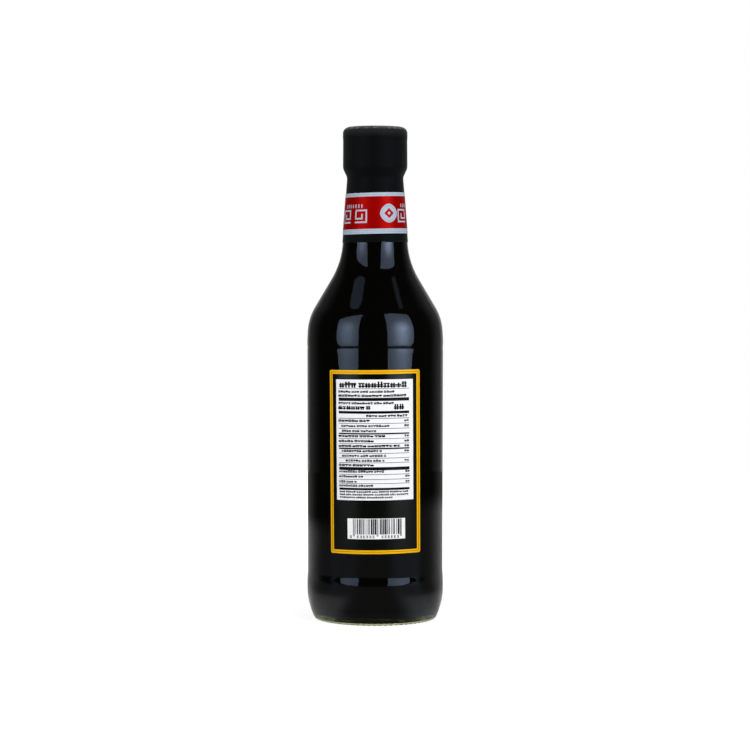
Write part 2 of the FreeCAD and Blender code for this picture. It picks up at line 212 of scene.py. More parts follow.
def revolve(outline, columns):
    """An outline turned about Z: angle round the axis, radius and height of each point, and faces.

    The outline starts and ends on the axis, at the last two points. Faces point to the right of
    its direction.
    """
    rings, column = outline[1:-1], np.arange(columns)
    around = np.append(np.tile(2 * np.pi * column / columns, len(rings)), [0.0, 0.0])
    radius, height = np.vstack([np.repeat(rings, columns, axis=0), outline[[0, -1]]]).T
    row, after = columns * np.arange(len(rings) - 1)[:, None], (column + 1) % columns
    quads = np.stack([row + column, row + after, row + columns + after, row + columns + column],
                     axis=2).reshape(-1, 4)
    first, end = np.full(columns, columns * len(rings)), columns * (len(rings) - 1)
    faces = [quads, np.stack([first, after, column], axis=1),
             np.stack([first + 1, end + column, end + after], axis=1)]
    return around, radius, height, faces


def wrap(around, radius, height):
    """Points (r sin a, -r cos a, z) from their angle round the axis, radius and height."""
    return np.stack([radius * np.sin(around), -radius * np.cos(around), height], axis=1)


def bell(value, middle, width):
    """exp(-((value - middle) / width)^2)."""
    return np.exp(-((value - middle) / width) ** 2)


def slow_waves(around, height, *waves):
    """The mean of some sines, each of n a + z / l + s, with the length l in millimetres."""
    return sum(np.sin(n * around + height / (size * MM) + start)
               for n, size, start in waves) / len(waves)


# Sizes and colours

class GlassSizes(bpy.types.PropertyGroup):
    body: length("Body diameter", "Width of the bottle at its widest", 69.0)
    heel_inset: length("Heel inset", "From the widest circle in to the bearing ring", 5.1)
    bearing_width: length("Bearing width", "Flat ring that the bottle stands on", 1.8)
    bearing_corner: length("Bearing corner", "Rounding beside the bearing ring", 2.0)
    push_up: length("Push-up", "Height of the dome under the bottle", 4.5)
    base: length("Base thickness", "Glass over the push-up", 3.2)
    wall: length("Wall", "Thickness of the glass", 2.8)
    heel: length("Heel radius", "Large arc of the heel", 34.0)
    inner_heel: length("Inner heel radius", "Arc between floor and wall inside", 7.0)
    bead_top: length("Bead top", "Height at which the label panel starts to step in", 19.6)
    recess_low: length("Lower recess", "How far the panel lies in at its foot", 0.3)
    recess_high: length("Upper recess", "How far the panel lies in at its top", 0.07)
    blend: length("Upper blend", "Arcs that lead from the panel up to the shoulder", 21.0)
    low_blend: length("Lower blend", "Arcs that lead from the bead into the panel", 15.0)
    flank_lean: angle("Bead flank", "Lean of the short flank over the bead", 3.8)
    groove: length("Groove", "Depth of the faint groove under the shoulder", 0.15)
    shoulder_height: length("Shoulder height", "Where the wall starts to lean in", 138.2)
    shoulder: length("Shoulder radius", "First large arc of the shoulder", 106.0)
    shoulder_turn: angle("Shoulder turn", "How far the first arc turns", 4.7)
    shoulder_edge: length("Shoulder edge radius", "Tighter arc over the shoulder", 26.2)
    flank: angle("Flank", "Lean of the straight flank", 30.6)
    neck_arc: length("Neck arc radius", "Hollow arc from flank to neck", 41.2)
    neck_base: length("Neck base diameter", "Width where the neck starts", 32.9)
    taper: angle("Neck taper", "Lean of the neck's side", 4.3)
    neck: length("Neck length", "Height of the tapered neck", 33.4)
    lip: length("Lip radius", "Rounding of the mouth", 1.2)
    wave: length("Waviness", "How far the surface wanders from a true round", 0.012)
    stipple_depth: length("Stipple depth", "Depth of the notches across the bearing ring", 0.2)
    stipples: IntProperty(name="Stipples", description="Notches round the bearing ring", default=68)
    colour: tint("Glass colour", "Tint of light through the glass", "#e2e4c6")
    # Pale olive of the bearing ring: partly frosted wear, partly painted light.
    wear_and_painted_light: tint("Worn glass", "Colour of the rough bearing ring", "#e2e6ae")
    glow: tint("Glow", "Light that creeps in at the liquid's foot", "#9ba17c")
    vinegar: tint("Vinegar colour", "Colour of the liquid", "#060403")


class SleeveSizes(bpy.types.PropertyGroup):
    gap: length("Gap under the cap", "From the neck's top to the cap's edge", 4.4)
    clearance: length("Film clearance", "Between the film and what it wraps", 0.03)
    film: length("Film thickness", "Thickness of the shrunk film", 0.2)
    cap_reach: length("Cap reach", "From the finish out to the cap's side", 2.15)
    band_height: length("Cap band height", "Wider band at the cap's top", 5.9)
    band_step: length("Cap band step", "How far the band stands out", 0.12)
    corner: length("Cap corner radius", "Rounding of the film's top edge", 3.1)
    draft: angle("Cap draft", "Lean of the cap's side", 0.5)
    tilt: angle("Lower edge tilt", "Slope of the film's cut edge, higher at the right", 0.5)
    pleat: length("Pleat height", "Height of the shrink pleats on the rim", 0.1)
    wander: length("Wander", "How far the film wanders from a true round", 0.05)
    colour: tint("Film colour", "Colour of the film", "#050606")
    # Grey of the painted highlight on the film's rounded rim.
    painted_rim_highlight: tint("Painted rim highlight", "Grey highlight painted on the film's rim", "#5c5e5e")


class BandSizes(bpy.types.PropertyGroup):
    foot: length("Foot", "Height of the band's lower edge at the middle", 195.05)
    height: length("Height", "Height of the band", 20.6)
    paper: length("Paper", "Thickness of the band", 0.15)
    clearance: length("Clearance", "Between the band and the film", 0.03)
    tilt: angle("Tilt", "How far the band is askew, higher at the right", 1.4)
    lower_stripe: length("Lower stripe", "Height of the pale stripe at the foot", 2.5)
    upper_stripe: length("Upper stripe", "Height of the pale stripe at the top", 1.9)
    repeats: IntProperty(name="Repeats", description="Ornaments round the band", default=3)
    red: tint("Red", "Ground of the band", "#a00300")
    pale: tint("Pale", "Stripes and ornament", "#a8b6c6")
    grey: tint("Grey", "Fine lines in the stripes and the ornament", "#8d9aab")


class LabelSizes(bpy.types.PropertyGroup):
    width: length("Width", "Width along the curve", 48.0)
    height: length("Height", "Height of the label", 91.1)
    middle: length("Middle height", "Height of the label's middle above the base", 82.0)
    paper: length("Paper", "Thickness of the label", 0.15)
    clearance: length("Clearance", "Between the label and the glass", 0.03)
    corner: length("Corner", "Rounding of the corners", 0.9)
    frame: length("Frame", "Width of the gold frame", 1.95)
    skew: angle("Skew", "How far the label leans, to the left at its top", 0.42)
    gold: tint("Gold", "Frame", "#f6b804")
    dark_gold: tint("Dark gold", "Fine line in the frame", "#b98404")
    black: tint("Black", "Ground", "#050705")
    white: tint("White", "Panel", "#f0f1f3")
    ink: tint("Ink", "Print on the white panel", "#060607")


class StudioSizes(bpy.types.PropertyGroup):
    camera_height: length("Camera height", "Height of the lens", 173.5)
    camera_distance: length("Camera distance", "From the bottle's axis to the lens", 1189.0)
    aim_height: length("Aim height", "Height on the axis that the camera points at", 123.7)
    lens: FloatProperty(name="Lens", description="Focal length", default=112.5, unit="CAMERA")
    floor_radius: length("Floor radius", "Radius of the pale floor", 900.0)
    box_distance: length("Softbox distance", "From the axis to each softbox", 1000.0)
    box_colour: tint("Softbox colour", "Colour of the softboxes in the gloss", "#c6dcff")
    key: FloatProperty(name="Key lamp", description="Power of the lamp at the right", default=9.3,
                       unit="POWER")
    fill: FloatProperty(name="Fill lamp", description="Power of the lamp at the left", default=6.0,
                        unit="POWER")
    level: FloatProperty(name="Room level", description="Even light of the room", default=0.5,
                         subtype="FACTOR", min=0.0, max=1.0)


class VinegarBottle(bpy.types.PropertyGroup):
    glass: PointerProperty(type=GlassSizes)
    sleeve: PointerProperty(type=SleeveSizes)
    band: PointerProperty(type=BandSizes)
    label: PointerProperty(type=LabelSizes)
    studio: PointerProperty(type=StudioSizes)


def sizes():
    """The sizes and colours that the panel holds."""
    return bpy.context.scene.vinegar_bottle


# The glass

def shoulder_steps(glass, point, inset):
    """Steps from the shoulder's start to the neck's top, inset by the wall for the inside."""
    shoulder, edge = glass.shoulder - inset, glass.shoulder_edge - inset
    neck_arc = glass.neck_arc + inset
    neck_base = glass.neck_base / 2 - inset * math.cos(glass.taper)
    arcs = [(shoulder, glass.shoulder_turn), (edge, glass.flank - glass.shoulder_turn)]
    corner = trace(point, UP, arcs, 1.0)[-1]
    arc_width = neck_arc * (math.cos(glass.taper) - math.cos(glass.flank))
    flank = (corner[0] - neck_base - arc_width) / math.sin(glass.flank)
    return arcs + [flank, (neck_arc, glass.taper - glass.flank)]


def flank_steps(glass):
    """An arc, a short straight flank and an arc back, which move the line in by the recess."""
    lean = glass.flank_lean
    run = (glass.recess_low - 2 * glass.low_blend * (1 - math.cos(lean))) / math.sin(lean)
    return [(glass.low_blend, lean), run, (glass.low_blend, -lean)]


def glass_outside(glass):
    """Outline from the push-up's top over ring, heel, panel and shoulder to the neck's top."""
    body = glass.body / 2
    ring = body - glass.heel_inset
    inner_ring = ring - glass.bearing_width
    dome = (inner_ring ** 2 + glass.push_up ** 2) / (2 * glass.push_up) - glass.bearing_corner
    dome_turn = math.asin(inner_ring / (dome + glass.bearing_corner))
    heel_start = math.asin((ring - body + glass.heel) / (glass.heel - glass.bearing_corner))
    line = trace((0, glass.push_up), 0.0, [(dome, -dome_turn), (glass.bearing_corner, dome_turn)],
                 3 * MM)
    line = extend(line, 0.0, [glass.bearing_width / 2, glass.bearing_width / 2,
                              (glass.bearing_corner, heel_start)], 0.35 * MM)
    line = extend(line, heel_start, [(glass.heel, UP - heel_start)], 0.7 * MM)
    line = extend(line, UP, [glass.bead_top - line[-1, 1]] + flank_steps(glass), 0.5 * MM)
    widening = glass.recess_low - glass.recess_high
    blend_height = 2 * math.sqrt(glass.blend * glass.recess_high)
    panel_height = glass.shoulder_height - blend_height - line[-1, 1]
    line = extend(line, UP - math.atan(widening / panel_height),
                  [math.hypot(widening, panel_height)], 1.5 * MM)
    swing = math.acos(1 - glass.recess_high / (2 * glass.blend))
    line = extend(line, UP, [(glass.blend, -swing), (glass.blend, swing)], 0.3 * MM)
    line = extend(line, UP, shoulder_steps(glass, line[-1], 0.0), 0.7 * MM)
    return extend(line, UP + glass.taper, [glass.neck / math.cos(glass.taper)], 1.5 * MM)


def cavity_side(glass, neck_top):
    """Outline of the room inside, from the middle of its floor to the neck's top."""
    inner = glass.body / 2 - glass.wall
    ring = glass.body / 2 - glass.heel_inset - glass.bearing_width
    dome = (ring ** 2 + glass.push_up ** 2) / (2 * glass.push_up) + glass.base
    dome_turn = math.asin((inner - glass.inner_heel) / (dome + glass.inner_heel))
    line = trace((0, glass.push_up + glass.base), 0.0,
                 [(dome, -dome_turn), (glass.inner_heel, UP + dome_turn)], 2 * MM)
    line = extend(line, UP, [glass.shoulder_height - line[-1, 1]], 4 * MM)
    line = extend(line, UP, shoulder_steps(glass, line[-1], glass.wall), 2 * MM)
    return extend(line, UP + glass.taper, [(neck_top - line[-1, 1]) / math.cos(glass.taper)],
                  3 * MM)


def soda_lime_glass(glass):
    """Blown soda-lime glass: clear, hard-edged in its gloss, and pale olive where it is deep."""
    material, add, where = new_material("soda_lime_glass")
    # Blown glass is smooth but never quite even: slow ripples about 12 mm long.
    ripple = add(NOISE, where, 1 / (12 * MM), 1.0)
    bump = add("Bump", Strength=0.25, Distance=0.03 * MM, Height=ripple)
    surface = add("BsdfPrincipled", Base_Color=(1, 1, 1, 1), Roughness=0.0, IOR=1.52,
                  Transmission_Weight=1.0, Normal=bump)
    add("OutputMaterial", surface, add("VolumeAbsorption", tuple(glass.colour), 55.0))
    return material


def worn_glass_with_painted_light(glass):
    """The bearing ring, rough with stipples and wear. Its pale olive is partly frosted wear and
    partly painted light, for the light that runs down the wall: a broken line of pale olive, with
    black gaps of painted shade along its very foot."""
    material, add, where = new_material("worn_soda_lime_glass_with_painted_light")
    x, y, z = add("SeparateXYZ", where).node.outputs
    teeth = add("Math SINE", add(TIMES, add("Math ARCTAN2", x, y), float(glass.stipples)))
    speck = add(NOISE, where, 1 / (1.2 * MM))
    # Black gaps between the teeth along the very foot: painted shade.
    gap = add(TIMES, add(RAMP, add(PLUS, teeth, speck), 0.55, 1.0),
              add(RAMP, z, 0.3 * MM, 0.8 * MM, 1.0, 0.0))
    # Pale olive specks: frosted wear, and painted light where light runs down the wall.
    pale = add(COLOURS, add(RAMP, speck, 0.35, 0.65),
               shade(glass.wear_and_painted_light, 0.62), tuple(glass.wear_and_painted_light))
    surface = add("BsdfPrincipled", Base_Color=add(COLOURS, gap, pale, linear("#1a1b14")),
                  Roughness=0.6, IOR=1.52, Specular_IOR_Level=0.3)
    add("OutputMaterial", surface)
    return material


def black_vinegar(glass):
    """Aged vinegar: so dark a brown that it reads as black. It lies in the glass, so it adds no
    gloss of its own there: an IOR near one stands for the small step from glass to liquid."""
    material, add, where = new_material("aged_vinegar")
    cloud = add(NOISE, where, 1 / (20 * MM))
    colour = add(COLOURS, cloud, shade(glass.vinegar, 0.45), tuple(glass.vinegar))
    # On its underside light from the base creeps in: a thin broken ring of olive, faint in front.
    x, _, z = add("SeparateXYZ", where).node.outputs
    sideways = add("Math ABSOLUTE", x)
    radius = add("VectorMath LENGTH", add("VectorMath MULTIPLY", where, (1, 1, 0)))
    wider = add(RAMP, sideways, 6 * MM, 16 * MM, 0.0, 2.6 * MM)
    wander = add(TIMES, add(NOISE, where, 1 / (2.2 * MM)), 3.2 * MM)
    ragged = add(PLUS, add(PLUS, radius, wider), wander)
    patches = add(NOISE, where, 1 / (6 * MM), 1.0)
    glow = add(RAMP, ragged, 20.5 * MM, 20.8 * MM)
    for mask in (add(RAMP, radius, 20.4 * MM, 21.0 * MM, 1.0, 0.0),
                 add(RAMP, z, 8 * MM, 9 * MM, 1.0, 0.0),
                 add(RAMP, sideways, 3 * MM, 12 * MM, 0.4, 1.0),
                 add(RAMP, patches, 0.4, 0.56, 0.2, 1.0)):
        glow = add(TIMES, glow, mask)
    surface = add("BsdfPrincipled", Base_Color=add(COLOURS, glow, colour, tuple(glass.glow)),
                  Roughness=0.3, IOR=1.05)
    add("OutputMaterial", surface)
    return material


class VINEGAR_OT_glass(bpy.types.Operator):
    """Makes the glass: a revolved shell with slow waves and a notched bearing ring"""
    bl_idname = "vinegar.glass"
    bl_label = "Glass"

    def execute(self, context):
        glass = sizes().glass
        lip_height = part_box("glass_bottle")[1].z
        outside = glass_outside(glass)
        mouth = trace(outside[-1], UP, [lip_height - glass.lip - outside[-1, 1], (glass.lip, UP)],
                      2 * MM)
        inside = cavity_side(glass, outside[-1, 1])
        rim = np.array([[inside[-1, 0], lip_height]])
        outline = np.vstack([outside, mouth[1:], rim, inside[::-1]])
        outline[[0, -1], 0] = 0.0
        columns = 5 * glass.stipples
        around, radius, height, faces = revolve(outline, columns)
        # The rings on the outer side. The last two points are the poles.
        outer_rings = np.arange(len(outline) - 2) < len(outside) - 1
        outer = np.append(np.repeat(outer_rings, columns), [False, False])
        waves = slow_waves(around, height, (3, 31, 0), (5, -17, 1.3), (2, 11, 4.1))
        fade = np.clip((height - 6 * MM) / (10 * MM), 0, 1)
        radius = radius + outer * glass.wave * waves * fade
        # The groove: a bell 2.4 mm wide that presses the wall in where the shoulder starts.
        groove = bell(height, glass.shoulder_height - 0.3 * MM, 1.2 * MM)
        radius = radius - outer * glass.groove * groove
        # Notches: the bearing ring is lifted between its teeth, most at the middle of its corner.
        ring = glass.body / 2 - glass.heel_inset
        across = (radius - ring - 0.4 * glass.bearing_corner) / glass.bearing_corner
        teeth = 0.5 - 0.5 * np.cos(glass.stipples * around)
        low = outer & (height < 1.6 * MM)
        height = height + low * glass.stipple_depth * teeth * np.clip(1 - across ** 2, 0, 1)
        # Faces whose two rings both lie on the bearing ring take its look of wear and painted light.
        wear_and_painted_light = (outer_rings & (outline[1:-1, 1] < 1.5 * MM)
                & (outline[1:-1, 0] > ring - glass.bearing_width))
        looks = np.append(np.repeat(wear_and_painted_light[:-1] & wear_and_painted_light[1:], columns), np.zeros(2 * columns, bool))
        piece = place_mesh("bottle_glass", wrap(around, radius, height), faces,
                           [soda_lime_glass(glass), worn_glass_with_painted_light(glass)],
                           face_materials=looks.astype(np.int32), sharp=math.radians(40))
        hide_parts("glass_bottle")
        return {"FINISHED"}


class VINEGAR_OT_vinegar(bpy.types.Operator):
    """Makes the liquid: it fills the hollow, reaches just into the wall and climbs it at the top"""
    bl_idname = "vinegar.vinegar"
    bl_label = "Vinegar"

    def execute(self, context):
        glass = sizes().glass
        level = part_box("vinegar")[1].z
        side = cavity_side(glass, level + 20 * MM)
        side = offset(side[side[:, 1] < level - 1.5 * MM], 0.12 * MM)
        side[0, 0] = 0.0
        edge = side[-1, 0]
        # The meniscus: the level rises by its last 1 mm as exp(-distance / 0.6 mm).
        radius, climb = np.linspace(edge, 0, 24), 1.0 * MM
        rise = climb * np.exp(-(edge - radius) / (0.6 * MM))
        top = np.stack([radius, level - climb + rise], axis=1)
        *places, faces = revolve(np.vstack([side, top]), 96)
        piece = place_mesh("vinegar_fill", wrap(*places), faces, [black_vinegar(glass)],
                           sharp=math.radians(40))
        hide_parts("vinegar")
        return {"FINISHED"}


# Cap and sleeve

def moulded_polypropylene():
    """Injection-moulded polypropylene: even black with a soft, slightly uneven shine."""
    material, add, where = new_material("moulded_polypropylene")
    grain = add(NOISE, where, 1 / (0.8 * MM))
    surface = add("BsdfPrincipled", IOR=1.49,
                  Base_Color=add(COLOURS, grain, linear("#161616"), linear("#1d1d1d")),
                  Roughness=add(RAMP, grain, 0.3, 0.7, 0.38, 0.5))
    add("OutputMaterial", surface)
    return material


def shrunk_pvc_film(sleeve):
    """Shrunk PVC film with a matt print: near black, with a dull sheen that drags over slow
    creases and shows fine grain, and a painted highlight on its rim."""
    material, add, where = new_material("shrunk_pvc_film")
    crease = add(NOISE, add("Mapping", where, Scale=(1, 1, 0.35)), 1 / (6 * MM), 3.0)
    grain = add(NOISE, where, 1 / (0.5 * MM))
    height = add(PLUS, crease, add(TIMES, grain, 0.15))
    bump = add("Bump", Strength=0.5, Distance=0.12 * MM, Height=height)
    colour = add(COLOURS, crease, tuple(sleeve.colour), shade(sleeve.colour, 1.8))
    # Painted highlight on the rim: a mottled grey where the rounded top edge catches the
    # light, fading out down the side.
    up, top = add("SeparateXYZ", where).node.outputs["Z"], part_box("sleeve")[1].z
    radius = add("VectorMath LENGTH", add("VectorMath MULTIPLY", where, (1, 1, 0)))
    patches = add(NOISE, where, 1 / (1.6 * MM))
    wear_and_painted_light = add(RAMP, radius, 11 * MM, 13 * MM)
    for mask in (add(RAMP, up, top - 1.7 * MM, top - 0.9 * MM, 0.0, 0.9),
                 add(RAMP, patches, 0.4, 0.62, 0.35, 1.0)):
        wear_and_painted_light = add(TIMES, wear_and_painted_light, mask)
    # A faint painted highlight that grows up the side towards the rim.
    side = add(RAMP, up, top - 6 * MM, top - 1.7 * MM, 0.0, 0.1)
    wear_and_painted_light = add(PLUS, wear_and_painted_light, side)
    surface = add("BsdfPrincipled", Base_Color=add(COLOURS, wear_and_painted_light, colour, tuple(sleeve.painted_rim_highlight)),
                  Roughness=add(RAMP, grain, 0.25, 0.75, 0.46, 0.6),
                  IOR=1.45, Specular_IOR_Level=0.04, Sheen_Weight=0.14, Sheen_Roughness=0.4,
                  Normal=bump)
    add("OutputMaterial", surface)
    return material


class VINEGAR_OT_cap(bpy.types.Operator):
    """Gives the hidden cap its moulded plastic"""
    bl_idname = "vinegar.cap"
    bl_label = "Cap"

    def execute(self, context):
        mesh = frame["nodes"]["closure"].data
        mesh.materials.clear()
        mesh.materials.append(moulded_polypropylene())
        return {"FINISHED"}


class VINEGAR_OT_sleeve(bpy.types.Operator):
    """Makes the shrunk film over cap and neck, with pleats on its rim and a cut lower edge"""
    bl_idname = "vinegar.sleeve"
    bl_label = "Sleeve"

    def execute(self, context):
        glass, sleeve = sizes().glass, sizes().sleeve
        finish, neck_top = glass_outside(glass)[-1]
        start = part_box("sleeve")[0].z
        cap_low, cap_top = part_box("closure")[0].z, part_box("closure")[1].z
        film = sleeve.clearance + sleeve.film
        edge = finish + sleeve.cap_reach + film
        foot = finish + film + (neck_top - start) * math.tan(glass.taper)
        skirt = cap_top - cap_low - sleeve.band_height
        under_cap = math.degrees(math.atan2(sleeve.gap, sleeve.cap_reach))
        steps = ["%f" % (90 + math.degrees(glass.taper)),
                 (neck_top - start) / math.cos(glass.taper),
                 "%f" % under_cap, math.hypot(sleeve.cap_reach, sleeve.gap),
                 "%f" % (90 + math.degrees(sleeve.draft)), skirt / math.cos(sleeve.draft),
                 "45", sleeve.band_step * math.sqrt(2),
                 "90", sleeve.band_height - sleeve.corner, (sleeve.corner + film, UP)]
        outer = trace((foot, start), 0.0, steps, 0.11 * MM)
        outer = np.vstack([outer, [[outer[-1, 0] / 2, outer[-1, 1]], [0, outer[-1, 1]]]])
        # Film bridges sharp corners: each point moves halfway to its neighbours' mean, and again.
        for _ in range(7):
            outer[1:-2] = (outer[:-3] + 2 * outer[1:-2] + outer[2:-1]) / 4
        inner = offset(outer, -sleeve.film)
        inner[-1, 0] = 0.0
        around, radius, height, faces = revolve(np.vstack([inner[::-1], outer]), 190)
        # Pleats: narrow radial folds over the rim, each a bell in angle, strongest on the corner.
        rng, count, folds = np.random.default_rng(7), 26, 0.0
        for centre, width, weight in zip(*(rng.uniform(low, high, count) for low, high in (
                (-np.pi, np.pi), (0.02, 0.06), (0.3, 1.0)))):
            apart = (around - centre + np.pi) % (2 * np.pi) - np.pi
            folds += weight * bell(apart, 0, width)
        rim = bell(height, cap_top - 0.6 * MM, 1.4 * MM) * np.clip(radius / edge, 0, 1) ** 2
        radius = radius + 0.8 * sleeve.pleat * folds * rim * (radius > 1 * MM)
        # The film wanders most where it bridges from neck to cap.
        waves = slow_waves(around, height, (2, 5, 0), (3, -7, 2), (7, 3, 0.7))
        most = 0.5 + bell(height, cap_low - 2 * MM, 3 * MM)
        radius = radius + sleeve.wander * waves * most * np.clip(radius / edge, 0, 1)
        # The cut edge climbs to the right by the tilt, and the climb fades out upwards.
        fade = np.clip(1 - (height - start) / (12 * MM), 0, 1)
        height = height + fade * radius * np.sin(around) * math.tan(sleeve.tilt)
        piece = place_mesh("sleeve_film", wrap(around, radius, height), faces,
                           [shrunk_pvc_film(sleeve)], sharp=math.radians(80))
        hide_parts("sleeve")
        return {"FINISHED"}


# Print

class Sheet:
    """A printed sheet that grows field by field into one mesh.

    surface(u, v, n) carries a place on the flat print, and a height over the paper's back, to a
    point. Each field lies between a lower and an upper edge that are functions of u, and is a
    closed plate, so that the printed colours are real, very thin layers.
    """

    LAYER = 0.012 * MM

    def __init__(self, surface, paper, longest):
        self.surface, self.paper, self.longest = surface, paper, longest
        self.points, self.quads, self.materials, self.count = [], [], [], 0

    def plate(self, u, low, high, back, front, material):
        """Four points at each u, joined to a closed tube, with both ends shut."""
        u, low, high = np.broadcast_arrays(u, low, high)
        corners = [self.surface(u, v, n)
                   for v, n in ((low, front), (low, back), (high, back), (high, front))]
        step, side = 4 * np.arange(len(u) - 1)[:, None], np.arange(4)[None, :]
        after = (side + 1) % 4
        quads = np.stack([step + side, step + after, step + 4 + after, step + 4 + side], axis=2)
        last = 4 * (len(u) - 1)
        ends = np.array([[3, 2, 1, 0], [last, last + 1, last + 2, last + 3]])
        quads = np.vstack([quads.reshape(-1, 4), ends])
        self.points.append(np.stack(corners, axis=1).reshape(-1, 3))
        self.quads.append(quads + self.count)
        self.materials.append(np.full(len(quads), material))
        self.count += 4 * len(u)

    def layer_plate(self, u, low, high, layer, material):
        """A plate on a numbered layer of the print, clear of the layer below by a fifth."""
        front = self.paper + layer * self.LAYER
        self.plate(u, low, high, front - 0.8 * self.LAYER, front, material)

    def field(self, left, right, low, high, layer, material):
        """A rectangle of one colour."""
        pieces = max(1, math.ceil((right - left) / self.longest))
        self.layer_plate(np.linspace(left, right, pieces + 1), low, high, layer, material)

    def shape(self, left, right, middle, half_height, layer, material):
        """A form symmetric about a level: half_height(t) gives it for t from 0 to 1."""
        t = np.linspace(0.0, 1.0, 25)
        half = np.maximum(half_height(t), 0.01 * MM)
        self.layer_plate(left + t * (right - left), middle - half, middle + half, layer, material)

    def piece(self, name, materials):
        """The finished object."""
        return place_mesh(name, np.vstack(self.points), self.quads, materials,
                          face_materials=np.concatenate(self.materials), smooth=False)


def printed(name, colour, gloss, shine, metal=0.0, varnish=0.0, warmth=1.0):
    """A printed paper: an even colour with slight mottle, fibre that lifts the surface by a hair,
    and a satin varnish over both where it has one."""
    material, add, where = new_material(name)
    mottle = add(NOISE, where, 1 / (3 * MM), 3.0)
    # Paper fibre is about 0.03 mm; it is drawn ten times as coarse so that it shows.
    fibre = add(NOISE, where, 1 / (0.3 * MM))
    slow = add(NOISE, where, 1 / (9 * MM), 1.0)
    surface = add(
        "BsdfPrincipled", Metallic=metal, IOR=1.45, Specular_IOR_Level=shine,
        Base_Color=add(COLOURS, mottle, shade(colour, 0.86), tuple(colour)),
        Roughness=add(RAMP, fibre, 0.25, 0.75, gloss, gloss + 0.12),
        Specular_Tint=(1.0, 1.0, warmth, 1.0), Coat_Weight=varnish, Coat_Roughness=0.2,
        Normal=add("Bump", Strength=0.25, Distance=0.02 * MM, Height=fibre),
        Coat_Normal=add("Bump", Strength=0.3, Distance=0.05 * MM, Height=slow))
    add("OutputMaterial", surface)
    return material


class VINEGAR_OT_band(bpy.types.Operator):
    """Makes the red band round the neck, with pale stripes and a plain traditional ornament"""
    bl_idname = "vinegar.band"
    bl_label = "Neck band"

    def execute(self, context):
        glass, sleeve, band = sizes().glass, sizes().sleeve, sizes().band
        finish, neck_top = glass_outside(glass)[-1]
        inner = finish + sleeve.clearance + sleeve.film + band.clearance
        mean_radius = inner + (neck_top - band.foot - band.height / 2) * math.tan(glass.taper)

        def surface(u, v, n):
            """A cone round the neck, cut by a plane that leans by the tilt: foot + v + x tan t."""
            around = u / mean_radius
            height = band.foot + v + mean_radius * np.sin(around) * math.tan(band.tilt)
            radius = inner + (neck_top - height) * math.tan(glass.taper) + n
            return wrap(around, radius, height)

        sheet = Sheet(surface, band.paper, 0.9 * MM)
        # Half the way round, and the band's levels.
        half, top = math.pi * mean_radius, band.height
        red_low, red_high = band.lower_stripe, top - band.upper_stripe
        RED, PALE, GREY = range(3)
        # The paper itself, shut into a ring: its ends meet at the back.
        sheet.plate(np.linspace(-half, half, 181), 0.0, top, 0.0, band.paper, PALE)
        sheet.field(-half, half, red_low, red_high, 1, RED)
        for level in (0.34 * red_low, 0.68 * red_low, red_high + 0.5 * band.upper_stripe):
            sheet.field(-half, half, level - 0.1 * MM, level + 0.1 * MM, 1, GREY)
        middle = (red_low + red_high) / 2
        pitch, degree = 2 * half / band.repeats, 2 * half / 360

        def place(degrees, number):
            """Where a form stands that repeats round the neck; one at the seam runs across it."""
            return (degrees * degree + number * pitch + half) % (2 * half) - half

        # Ornament: a medallion, then two square frets under a row of short dashes. The medallion's
        # forms are h (1 - |2 t - 1|^p)^(1/p) high: a lozenge for p = 1, rounder for more.
        medallion = ((4.75, 1.7, PALE), (3.95, 1.7, GREY), (3.65, 1.7, PALE), (2.6, 1.0, RED),
                     (0.9, 1.0, PALE))
        fret = ((-3.3, 3.3, 0.0, 0.8), (-3.3, -2.5, 0.0, 6.7), (-3.3, 3.3, 5.9, 6.7),
                (2.5, 3.3, 1.8, 6.7), (-1.0, 3.3, 1.8, 2.6), (-1.0, -0.2, 1.8, 4.6))
        for number in range(band.repeats):
            centre = place(26.2, number)
            for layer, (size, power, material) in enumerate(medallion, 2):
                sheet.shape(centre - size * MM, centre + size * MM, middle - 0.45 * MM,
                            lambda t: size * MM * (1 - np.abs(2 * t - 1) ** power) ** (1 / power),
                            layer, material)
            for degrees, side in ((57.5, 1), (93.0, -1)):
                centre, low = place(degrees, number), middle - 5.1 * MM
                for left, right, foot, head in fret:
                    start, end = sorted((side * left * MM, side * right * MM))
                    sheet.field(centre + start, centre + end, low + foot * MM, low + head * MM,
                                2, PALE)
            for index in range(7):
                centre = place(56.0 + 6.4 * index, number)
                sheet.field(centre - 0.3 * MM, centre + 0.3 * MM, middle + 2.5 * MM,
                            middle + 4.3 * MM, 2, PALE)
        piece = sheet.piece("neck_band", [
            printed("satin_red_foil_paper", band.red, 0.3, 0.05, metal=0.35),
            printed("pale_printed_paper", band.pale, 0.45, 0.2),
            printed("grey_printed_line", band.grey, 0.45, 0.2)])
        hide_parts("neck_label")
        return {"FINISHED"}


# The back label's colours, by number.
GOLD, BLACK, WHITE, INK, DARK_GOLD = range(5)


def print_words(sheet, rng, left, right, base, height, weight):
    """A line of marks that stand for words and spell nothing: one or two uprights, crossed by two
    bars that stick out at both sides, so that no mark is a letter or a digit."""
    while left < right:
        for _ in range(int(rng.integers(3, 9))):
            wide = max(height * rng.uniform(0.55, 0.8), 2.4 * weight)
            if left + wide > right:
                break
            tall = height * (1.0 if rng.random() < 0.4 else 0.78)
            second = rng.random() < 0.75
            for place in (0.0, wide - weight) if second else ((wide - weight) / 2,):
                sheet.field(left + place, left + place + weight, base, base + tall, 3, INK)
            for level in rng.choice((0.14, 0.38, 0.6), 2, replace=False):
                foot = base + level * height
                sheet.field(left - 0.5 * weight, left + wide + 0.5 * weight, foot,
                            foot + 0.68 * weight, 3, INK)
            left += wide + weight
        left += 0.33 * height


